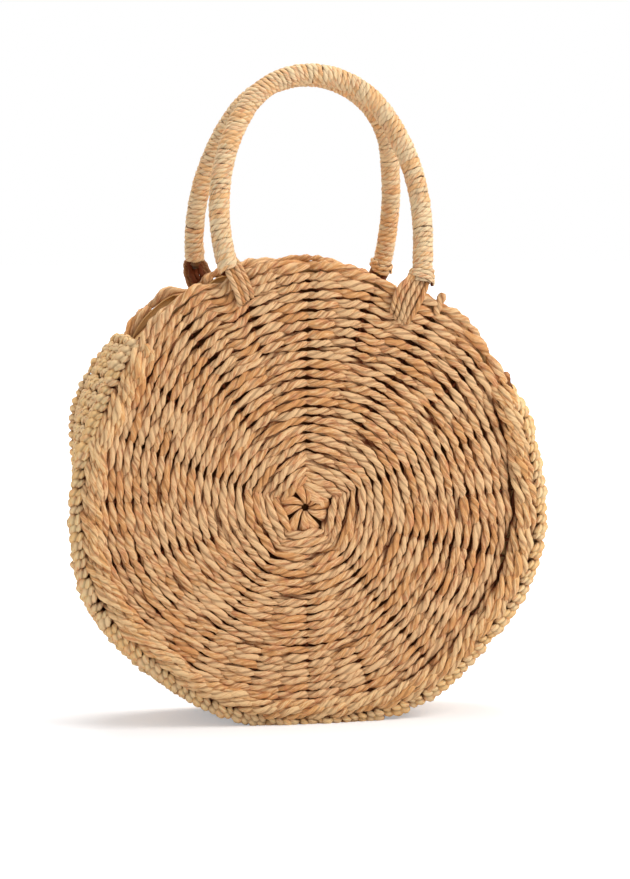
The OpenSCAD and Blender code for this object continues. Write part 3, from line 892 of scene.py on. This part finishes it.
def half_arch(lift):
    """From the right foot up to the middle of the top, flat, where the foot's height is lift."""
    toe_in = handle_half_w - handle_foot_half_w
    drop = handle_waist - lift
    leg_r = (drop**2 + toe_in**2) / (2 * toe_in)
    return np.concatenate([
        arc(handle_half_w - leg_r, handle_waist, leg_r, -math.asin(drop / leg_r), 0)[:-1],
        arc(handle_half_w - side_r, handle_waist, side_r, 0, join_angle)[:-1],
        arc(0, top_centre, handle_top_r, join_angle, math.pi / 2),
    ])


def arch_line():
    """The whole middle line, from the left foot over the top to the right foot, and a little past each."""
    left = half_arch(foot_lift) * (-1, 1)
    right = half_arch(-foot_lift)[::-1]
    before = left[0] + foot_stub * unit(left[0] - left[1])
    after = right[-1] + foot_stub * unit(right[-1] - right[-2])
    return np.concatenate([[before], left, right[1:], [after]])


def even(line, count):
    """The same line with evenly spaced points, and its length."""
    steps = np.linalg.norm(np.diff(line, axis=0), axis=1)
    length = np.concatenate([[0], np.cumsum(steps)])
    marks = np.linspace(0, length[-1], count)
    return np.stack([np.interp(marks, length, column) for column in line.T], axis=-1), length[-1]


# For each handle: how far its top has swayed to the right, how much its waist is drawn in, how far its
# top has sunk and how far its right shoulder stands out
handle_sway = {-1: (1.4, 0.0, 0.0, 0.0), 1: (3.0, 0.022, 2.2, 4.8)}
# How far the left and the right leg stand to the right at the hinge, and how fast that fades upwards
leg_slip = {-1: (-0.4, 1.8, 2.0), 1: (-1.9, -2.2, 0.7)}
# The thickness at the left foot and at the right one, as a share of the rod's nominal thickness
leg_thickness = {-1: (1.0, 0.99), 1: (0.95, 0.94)}
# How much of the winding is left out at the left foot and at the right one, in mm
wind_ends = {-1: (0.0, 0.0), 1: (7.0, 6.0)}


def stand(face, flat_x, flat_y, flat_z):
    """Leans points of an upright handle on its hinge line, and mirrors them for the back. A rod bent by
    hand is never quite true. At the height h, from 0 at the hinge line to 1 at the top, x shrinks by the
    share waist * sin(pi h) and grows by sway * sin(pi h / 2), by a leg's slip times (1 - h)^fade and, on
    the right, by shoulder times a bell round h = 0.73. The top sinks by sink * h^2."""
    sway, waist, sink, shoulder = handle_sway[face]
    share = np.clip(flat_z / handle_rise, 0, 1)
    at_left, at_right, fade = leg_slip[face]
    rightness = np.clip(0.5 + 0.5 * flat_x / handle_foot_half_w, 0, 1)
    slip = (at_left + (at_right - at_left) * rightness) * (1 - share) ** fade
    flat_x = flat_x * (1 - waist * np.sin(np.pi * share)) + sway * np.sin(np.pi / 2 * share) + slip
    flat_x = flat_x + shoulder * np.clip(flat_x / handle_half_w, 0, 1) * bell(share - 0.73, 0.17)
    flat_z = flat_z - sink * share**2
    points = np.stack(np.broadcast_arrays(flat_x, flat_y, flat_z), axis=-1)
    turn = np.array(Matrix.Rotation(-handle_lean, 3, Vector(hinge_axis)))
    placed = points @ turn.T + hinge_middle
    return placed * np.array([1, -face, 1])


flat_arch, arch_length = even(arch_line(), 4000)
print(f"handle: {arch_length:.0f} mm along the rod, leaning {math.degrees(handle_lean):.1f} degrees")

# %% [markdown]
# The winding is a helix round that line. With w the number of turns so far, it lies at the angle 2 pi w
# in the plane square to the arch. Real winding is uneven: now and then a turn climbs on its neighbour or
# leaves a slit, so the spacing and the height of the turns wander.

# %% The winding
wind_pitch, wind_half_w, wind_half_h = 3.55, 2.15, 1.1
rod_r = 4.3


def around_arch(length, angle, radius):
    """A point at a radius from the arch's middle line, at a length along it and an angle about it."""
    marks = np.linspace(0, arch_length, len(flat_arch))
    slope = unit(np.gradient(flat_arch, axis=0))
    x, z = (np.interp(length, marks, flat_arch[:, i]) for i in (0, 1))
    dx, dz = (np.interp(length, marks, slope[:, i]) for i in (0, 1))
    away, depth = radius * np.cos(angle), radius * np.sin(angle)
    return x + dz * away, depth, z - dx * away


def thickness(face, length):
    """The handle's radius at a length along the arch."""
    at_left, at_right = leg_thickness[face]
    return handle_r * (at_left + (at_right - at_left) * length / arch_length)


def wandering(turn, turns, rows, seed):
    """Rows of random numbers, three in each turn, joined by straight lines."""
    marks = np.arange(int(turns * 3) + 4) / 3
    draws = np.random.default_rng(seed).normal(size=(rows, len(marks)))
    return (np.interp(turn, marks, row) for row in draws)


def wound_cord(face, name, length, angle, radius, half_w, half_h, **looks):
    """A cord round the arch, which faces away from the arch's middle line."""
    points = stand(face, *around_arch(length, angle, radius))
    core = stand(face, *around_arch(length, angle, 0.0))
    out = unit(points - core)
    return strands(
        name, points[None], out[None], half_w, half_h, straw_handle, sides=10, lay=13.0, **looks
    )


def winding(face, name, seed):
    """The helix: turn w lies at the length w * wind_pitch, moved a little by the spacing, and its radius
    is the handle's less the cord's half height."""
    turns = arch_length / wind_pitch
    first, last = wind_ends[face]
    turn = np.linspace(first / wind_pitch, turns - last / wind_pitch, int(turns * 26))
    spacing, level, tone = wandering(turn, turns, 3, seed)
    length = np.clip(turn * wind_pitch + 0.24 * spacing, first, arch_length - last)
    radius = thickness(face, length) - wind_half_h + 0.14 * level
    return wound_cord(
        face, name, length, 2 * np.pi * turn, radius, wind_half_w * (1 + 0.07 * spacing), wind_half_h,
        plies=0.11, tone=np.clip(0.5 + 0.3 * tone, 0, 1), height=0.16 * level,
    )


def rod(face, name):
    """The bare rod inside, a round bar along the same line."""
    points = stand(face, flat_arch[::40, 0], 0.0, flat_arch[::40, 1])
    facing = np.broadcast_to(np.array([0.0, face, 0.0]), points.shape)
    return strands(name, points[None], facing[None], rod_r, rod_r, rod_fibre, tips=0.6)


for face, side_name in both_sides:
    handle = f"{side_name}_handle"
    put_on(winding(face, f"{side_name}_winding", 91 + face), handle, "handle_yarn", f"{handle}_wrap")
    put_on(rod(face, f"{side_name}_rod"), handle, "handle_rod", f"{handle}_core")
print(f"turns round each handle: {arch_length / wind_pitch:.0f}")

# %% [markdown]
# At the feet the last turns are looser and lie over the others. On the right they flare out, and on the
# left in front they hardly show.

# %% Last turns at the feet
# For each foot: how far the loose turns stand off at their lower end, their number, how far they droop to
# the right, how tightly they lie on the winding and how high they start, all in mm but the number
loose_turns = {
    ("front", "left"): (0.0, 1.1, 0.3, -0.9, 2.2), ("front", "right"): (1.2, 2.5, 1.1, 0.0, 2.2),
    ("back", "left"): (0.0, 1.1, 0.0, -1.0, 8.5), ("back", "right"): (0.7, 1.7, 0.5, 0.0, 8.0),
}


def foot_turns(face, foot, name, flare, turns, droop, tight, start, seed):
    """A few turns over the winding. With low = (1 - w / turns)^0.7 at turn w, the turn stands off by
    flare * low and droops to one side by droop * low, and its end sticks out a little."""
    turn = np.linspace(0, turns, int(turns * 30))
    level, tone = wandering(turn, turns, 2, seed)
    sign = 1 if foot == "left" else -1
    angle = 2 * np.pi * turn + (0.3 if foot == "left" else 2.8)
    low = (1 - turn / turns) ** 0.7
    tail = np.clip(1 - turn / 0.22, 0, 1)
    up = start + turn * 3.3 - droop * low * np.cos(angle) * sign
    length = up if foot == "left" else arch_length - up
    radius = thickness(face, length) + tight + flare * low + 0.25 * level + 0.1 * flare * tail
    return wound_cord(
        face, name, length, angle, radius, 1.9, 1.35, plies=0.14,
        tone=np.clip(0.45 + 0.3 * tone, 0, 1), height=0.2 * level,
    )


for (side_name, foot), looseness in loose_turns.items():
    face = -1 if side_name == "front" else 1
    piece = foot_turns(face, foot, f"{side_name}_{foot}_foot_turns", *looseness, len(foot) + face)
    put_on(piece, f"{side_name}_handle", "handle_yarn", f"{side_name}_{foot}_binding")

# %% [markdown]
# Each foot is sewn to the disc with a few strands, from under the winding, over the rim and into the
# weave. On the left they run side by side, on the right they close like a fan, and behind on the left
# they bow out like a cage.

# %% The anchors
# For each foot, one row for each strand: its place across the foot at the top, halfway and at the tip,
# how far its tip lies below the foot, and how far it stands out from the others, all in mm
anchor_strands = {
    ("front", "left"): (
        (-2.6, -2.4, -2.4, 28.5, 0.5), (0.9, 0.8, 0.5, 28.0, -0.5),
        (4.0, 4.0, 3.6, 27.0, 0.4), (6.2, 7.2, 7.4, 26.0, -0.3), (-1.0, -0.8, -0.8, 24.0, -2.4),
        (3.0, 3.2, 3.2, 24.0, -2.4),
    ),
    ("front", "right"): (
        (-3.0, -11.4, -6.7, 31.0, 0.2), (-4.0, -7.4, -2.4, 33.5, -0.6), (-1.5, -3.0, 0.9, 35.0, 0.5),
        (1.0, 1.6, 3.2, 34.5, -0.5), (3.6, 6.0, 5.4, 33.0, 0.3), (-3.0, -5.4, 0.0, 29.0, -2.5),
        (0.0, -0.6, 2.0, 29.0, -2.5), (2.4, 3.6, 4.0, 29.0, -2.5), (-3.5, -9.4, -4.4, 28.0, -2.0),
    ),
    ("back", "left"): (
        (-4.6, -9.2, -7.4, 21.0, 0.2), (-2.6, -6.6, -4.2, 23.0, -0.5), (2.6, 3.6, 2.5, 21.0, -0.4),
        (4.6, 7.0, 5.0, 22.0, 0.4), (-1.0, -2.6, -1.4, 20.0, -3.0), (1.4, 0.8, 1.0, 20.0, -3.0),
        (-3.0, -5.6, -4.0, 20.0, -3.0),
    ),
    ("back", "right"): (
        (-5.0, -6.0, -2.4, 24.0, 0.3), (-2.0, -2.4, 0.4, 25.0, -0.4), (1.2, 1.4, 2.4, 25.0, 0.4),
        (4.2, 5.2, 4.8, 23.0, -0.3), (-3.4, -4.2, -1.0, 21.0, -2.6), (-0.4, -0.6, 1.2, 21.0, -2.6),
        (2.6, 3.2, 3.4, 21.0, -2.6),
    ),
}
anchor_half_w, anchor_half_h = 1.85, 1.65


def foot_place(face, foot):
    """The end of a hinge line, where a foot stands."""
    sign = -1 if foot == "left" else 1
    return hinge_middle * (1, -face, 1) + np.array([sign * handle_foot_half_w, 0, -sign * foot_lift])


def anchor(face, foot, name):
    """Strands from inside the foot to their tips in the weave. They lift over the rim and dive at the
    tip. With s from 0 to 1 a strand's place across is the parabola through its three places."""
    foot_x, foot_y, foot_z = foot_place(face, foot)
    inward = -unit(np.array([foot_x, foot_z - disc_z]))
    across = np.array([-inward[1], inward[0]])
    steps = np.linspace(0, 1, 30)
    table = np.array(anchor_strands["front" if face < 0 else "back", foot])
    top, halfway, tip, depth, proud = (column[:, None] for column in table.T)
    down = -5.0 + (depth + 5.0) * steps
    top = top + leg_slip[face][0 if foot == "left" else 1]
    spread = top + (4 * halfway - 3 * top - tip) * steps + (2 * top - 4 * halfway + 2 * tip) * steps**2
    x = foot_x + inward[0] * down + across[0] * spread
    z = foot_z + inward[1] * down + across[1] * spread
    over = np.interp(steps, [0, 0.16, 0.42, 0.86, 1], [0.0, 3.2, 6.4, 6.6, 1.5])
    lift = over + proud * np.sin(np.pi * steps) ** 0.5
    y = foot_y + face * lift
    path = np.stack(np.broadcast_arrays(x, y, z), axis=-1)
    facing = np.broadcast_to(np.array([0.0, face, 0.0]), path.shape)
    rng = np.random.default_rng(len(foot) + face)
    tone = np.clip(0.55 + 0.25 * rng.normal(size=(len(table), 1)), 0, 1)
    # The height passed on paints more shade on the strands that lie behind the others.
    return strands(
        name, path, facing, anchor_half_w, anchor_half_h, straw_disc, plies=0.12, lay=13.0,
        tone=tone, height=0.7 * proud + 0.9,
    )


for face, side_name in both_sides:
    for foot in ("left", "right"):
        piece = anchor(face, foot, f"{side_name}_{foot}_fan")
        below, above = (foot_place(face, foot) + (0, 0, up) for up in (-11, 1))
        tuple(below / METRE)
        tuple(above / METRE)
        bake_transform(piece)
        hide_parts(f"{side_name}_{foot}_anchor")


# %% [markdown]
# ## Lining and mouth
# The lining is sewn in: a disc behind each woven one, a band behind the strip, and a narrow band on each
# side of the zip. Each is a grid of points with a thickness, slightly wavy because it hangs between seams.

# %% Lining
def corners_of(grid):
    """For each square of a grid, what the grid holds at its four corners, in turn."""
    return np.stack([grid[:-1, :-1], grid[:-1, 1:], grid[1:, 1:], grid[1:, :-1]], axis=2)


def sheet(name, points, thickness, material, closed=False):
    """A grid of points, (rows, columns, 3), made a mesh and given a thickness. Columns may close up."""
    rows, columns = points.shape[:2]
    index = np.arange(rows * columns).reshape(rows, columns)
    if closed:
        index = np.concatenate([index, index[:, :1]], axis=1)
    quads = corners_of(index)
    step = np.linalg.norm(np.diff(points, axis=0), axis=-1).mean(axis=1)
    down = np.concatenate([[0], np.cumsum(step)]) / METRE
    wide = np.linalg.norm(np.diff(points, axis=1), axis=-1).mean(axis=0)
    right = np.concatenate([[0], np.cumsum(wide)]) / METRE
    if closed:
        right = np.append(right, right[-1] + wide[-1] / METRE)
    v, u = np.meshgrid(down, right, indexing="ij")
    uv = corners_of(np.stack([u, v], axis=-1)).reshape(-1, 2)
    counts = np.full(quads.size // 4, 4)
    piece = write_mesh(name, points.reshape(-1, 3), quads.reshape(-1), counts, uv, {}, material)
    wall = piece.modifiers.new("thickness", "SOLIDIFY")
    wall.thickness, wall.offset = thickness / METRE, 0.0
    return piece


cloth_t = 0.7
# How much further up the lining discs reach along the mouth, as a share of their radius
lining_reach = {-1: 0.045, 1: 0.018}
mouth_band_r, strip_lining_r, strip_lining_half_w = 149.0, 157.0, 38.0


def disc_lining(face, name):
    """A disc that follows the weave 5 mm behind its face, then turns in along the strip. Along the mouth
    it reaches further up. Two sine waves round the disc keep it from lying flat."""
    radius = np.concatenate([np.linspace(1.0, 146.5, 40), [148.6, 149.0, 149.0]])
    inward = np.concatenate([np.zeros(40), [0.8, 2.6, 4.6]])
    angle = np.linspace(0, 360, 144, endpoint=False)
    r, a = np.meshgrid(radius, angle, indexing="ij")
    r = r * (1 + lining_reach[face] * (1 - in_gusset(a, 8.0)) * (r > 120))
    waves = 0.25 * np.sin(np.radians(7 * a)) * np.sin(np.pi * r / 73)
    waves = waves + 0.2 * np.sin(np.radians(11 * a + 3 * r))
    bulge = panel_crown * (1 - (r / panel_r) ** 2)
    y = cord_y + panel_t / 2 + bulge - panel_t - 1.4 - inward[:, None] + waves
    x, z = on_circle(r, a)
    points = settle(np.stack([x, face * y, z + disc_z], axis=-1))
    return sheet(name, points if face < 0 else points[:, ::-1], cloth_t, lining_cotton_painted_shade, closed=True)


def band(name, angles, depths, radius, material, wave=0.0, settled=False):
    """A strip of cloth that follows an arc at a radius, from one depth to another. The radius swings by
    wave times a sine round the arc and a half sine across the strip."""
    a, y = np.meshgrid(np.linspace(*angles, 160), np.linspace(*depths, 14), indexing="ij")
    across = (y - depths[0]) / (depths[1] - depths[0])
    x, z = on_circle(radius + wave * np.sin(np.radians(9 * a)) * np.sin(np.pi * across), a)
    points = np.stack([x, y, z + disc_z], axis=-1)
    return sheet(name, settle(points) if settled else points, cloth_t, material)


def depths_of(node):
    """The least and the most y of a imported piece."""
    return [corner[1] for corner in box_mm(node)]


for face, side_name in both_sides:
    put_on(disc_lining(face, f"{side_name}_lining_cloth"), "bag", "lining_cloth", f"{side_name}_lining")
strip_arc, mouth_arc = (mouth_end, mouth_start + 360), (mouth_start - 5.0, mouth_end + 2.0)
strip_depths = (-strip_lining_half_w, strip_lining_half_w)
strip_lining = band(
    "strip_lining_cloth", strip_arc, strip_depths, strip_lining_r, lining_cotton_painted_shade, 0.3, settled=True
)
put_on(strip_lining, "bag", "lining_cloth", "gusset_lining")
for side_name in ("front", "back"):
    node = f"{side_name}_mouth_band"
    depths = depths_of(node)
    mouth_band = band(f"{side_name}_band_cloth", mouth_arc, depths, mouth_band_r, band_cotton, 0.3)
    put_on(mouth_band, "bag", "lining_cloth", node)
    node = f"{side_name}_zip_tape"
    tape = band(f"{side_name}_tape_cloth", mouth_arc, depths_of(node), tape_r, tape_cotton)
    put_on(tape, "bag", "zip_tape", node)
# A small tab under each end of the zip closes the gap between the tapes there
for end, tab_arc in (
    ("right", (mouth_start - 5.0, mouth_start + 3.2)), ("left", (mouth_end - 3.2, mouth_end + 2.0)),
):
    tab = band(f"zip_end_cloth_{end}", tab_arc, (-4.0, 4.0), tape_r - 1.2, tape_cotton)
    put_on(tab, "bag", "zip_tape")

# %% [markdown]
# The zip's coils are nylon monofilament, wound along the inner edge of each tape: a flat helix, one turn
# for every 1.4 mm. Slider, pull and stops keep the part's shapes, with their edges rounded off, because
# bare sharp edges never catch the light as cast metal does.

# %% Zip
coil_pitch, coil_half_w, coil_half_h = 1.4, 0.72, 0.62
# From stop to stop, in degrees from +X
coil_start, coil_end = 35.1, 131.9


def coil(side_name):
    """A flattened helix along the mouth: at turn w it stands at the angle 2 pi w about the coil's line."""
    middle_y = sum(depths_of(f"{side_name}_zip_coil")) / 2
    turns = np.radians(coil_end - coil_start) * tape_r / coil_pitch
    turn = np.linspace(0, turns, int(turns * 8))
    angle = np.radians(coil_start + (coil_end - coil_start) * turn / turns)
    radius = tape_r + coil_half_h * np.sin(2 * np.pi * turn)
    y = middle_y + coil_half_w * np.cos(2 * np.pi * turn)
    path = np.stack([radius * np.cos(angle), y, radius * np.sin(angle) + disc_z], axis=-1)
    out = np.stack([np.cos(angle), 0 * angle, np.sin(angle)], axis=-1)
    return strands(f"{side_name}_coil", path[None], out[None], 0.34, 0.3, coil_nylon, sides=5)


def eased(node, width):
    """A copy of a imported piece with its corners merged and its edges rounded."""
    source = frame["nodes"][node]
    piece = bpy.data.objects.new(f"{node}_cast", source.data.copy())
    bpy.context.scene.collection.objects.link(piece)
    weld = piece.modifiers.new("weld", "WELD")
    weld.merge_threshold = 0.00001
    edge = piece.modifiers.new("edge", "BEVEL")
    edge.width, edge.segments, edge.limit_method = width / METRE, 2, "ANGLE"
    edge.angle_limit = math.radians(35)
    edge.harden_normals = True
    piece.data.materials.clear()
    piece.data.materials.append(zip_brass)
    piece.data.polygons.foreach_set("use_smooth", np.full(len(piece.data.polygons), True))
    return piece


for side_name in ("front", "back"):
    put_on(coil(side_name), "bag", "zip_coil", f"{side_name}_zip_coil")
for node, body, width in (
    ("zip_slider", "zip_slider", 0.25), ("zip_pull", "zip_pull", 0.2),
    ("zip_stop_left", "bag", 0.3), ("zip_stop_right", "bag", 0.3),
):
    put_on(eased(node, width), body, "zip_metal", node)

# %% [markdown]
# ## Light and floor
# The photograph is lit softly from the front and above, on white. A pale floor keeps a shadow only if its
# own colour is lit, so the floor is a plain white with some glow that only the camera and reflections
# see: where the light falls freely the sum is white, and in the shadow it is grey.

# %% Floor, lamps and sky
def seen_directly():
    """1 for what the camera, a reflection or clear glass sees, and 0 for light that falls on things."""
    rays = [Field.node("ShaderNodeLightPath", output=name) for name in (0, 3, 6)]
    return rays[0].maths("MAXIMUM", rays[1]).maths("MAXIMUM", rays[2])


def soft_lamp(name, place, size, power, colour):
    """A round lamp that faces the middle of the bag."""
    data = bpy.data.lights.new(name, "AREA")
    data.shape, data.size, data.energy, data.color = "DISK", size, power, colour
    lamp = bpy.data.objects.new(name, data)
    lamp.location = place
    lamp.rotation_mode = "QUATERNION"
    towards = Vector((0.0, 0.0, 0.2)) - Vector(place)
    lamp.rotation_quaternion = towards.to_track_quat("-Z", "Y")
    bpy.context.scene.collection.objects.link(lamp)


floor_material, floor_shader = new_material(
    "floor", 1.0, Base_Color=(0.86, 0.85, 0.85, 1.0), Specular_IOR_Level=0.0,
    Emission_Color=(0.96, 0.99, 1.03, 1.0),
)
# The glow near the bag, where lamps add to it, and how much more there is from 1.1 m away on
near_glow, far_glow = 0.33, 0.63
from_bag = Field.node("ShaderNodeVectorMath", {0: object_place()}, output=1, operation="LENGTH")
feed(floor_shader, "Emission Strength", seen_directly() * (near_glow + from_bag.step(0.3, 1.1) * far_glow))
floor_mesh = bpy.data.meshes.new("floor")
floor_half = 12.0
corners = [(x * floor_half, y * floor_half, 0) for x, y in ((-1, -1), (1, -1), (1, 1), (-1, 1))]
floor_mesh.from_pydata(corners, [], [(0, 1, 2, 3)])
floor_mesh.materials.append(floor_material)
floor = bpy.data.objects.new("floor", floor_mesh)
bpy.context.scene.collection.objects.link(floor)

world = bpy.data.worlds.new("world")
world.use_nodes = True
Field.tree = world.node_tree
sky = world.node_tree.nodes["Background"]
sky.inputs["Color"].default_value = (1.0, 1.0, 1.0, 1.0)
sky_light = 0.5
feed(sky, "Strength", seen_directly() * (1 - sky_light) + sky_light)
bpy.context.scene.world = world
soft_lamp("key", (1.3, -1.0, 1.45), 1.2, 25.0, (1.0, 0.99, 0.97))
soft_lamp("fill", (-2.3, -0.45, 1.1), 1.2, 5.5, (0.97, 0.98, 1.0))
soft_lamp("top", (0.1, 0.7, 2.4), 1.5, 30.0, (1.0, 1.0, 1.0))
